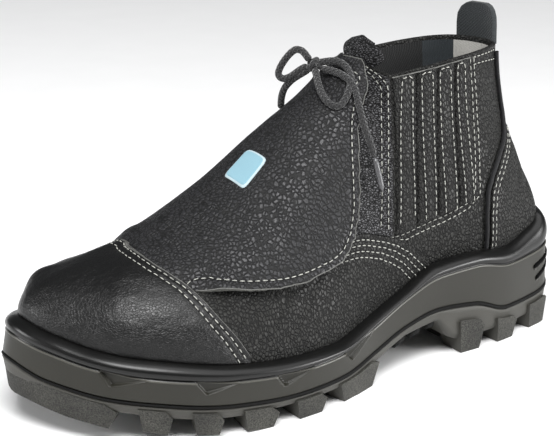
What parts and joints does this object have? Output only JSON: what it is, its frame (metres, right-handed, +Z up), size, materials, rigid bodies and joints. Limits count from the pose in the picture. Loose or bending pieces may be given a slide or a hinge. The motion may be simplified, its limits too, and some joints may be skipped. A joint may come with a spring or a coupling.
{
  "type": "metatarsal guard safety boot",
  "caption": "Ankle-high black leather work boot with a sewn padded guard flap over the instep, side gores, bow lace and lugged moulded sole; left foot.",
  "frame": {"origin": "on the ground plane, under the middle of the boot's bounding box", "axes": "+X from heel to toe, +Y to the wearer's left (outer side), +Z up"},
  "size_m": [0.3062, 0.1136, 0.169],
  "materials": {
    "sole_rubber": "granular matte rubber",
    "sole_foam": "satin moulded polyurethane",
    "black_leather": "pebbled, semi-gloss",
    "grained_leather": "grained, semi-gloss",
    "board_fabric": "matte felt",
    "edging": "woven, matte",
    "label_print": "plain woven label",
    "lace_braid": "braided, matte",
    "lace_tip_plastic": "clear film, satin"
  },
  "bodies": {
    "root": {"outsole": "sole_rubber", "midsole": "sole_foam", "insole": "board_fabric", "upper": "black_leather", "toe_cap": "black_leather", "vamp_outer": "black_leather", "vamp_inner": "black_leather", "facing_outer": "grained_leather", "facing_inner": "grained_leather", "gore_outer": "black_leather", "gore_inner": "black_leather", "counter": "black_leather", "piping_outer": "edging", "piping_inner": "edging", "metatarsal_guard": "black_leather", "guard_label": "label_print", "tongue": "grained_leather", "pull_tab": "edging", "lace_knot": "lace_braid", "lace_loop_inner": "lace_braid", "lace_loop_outer": "lace_braid", "lace_strand_inner": "lace_braid", "lace_end_outer": "lace_braid", "lace_tip": "lace_tip_plastic"}
  },
  "joints": []
}
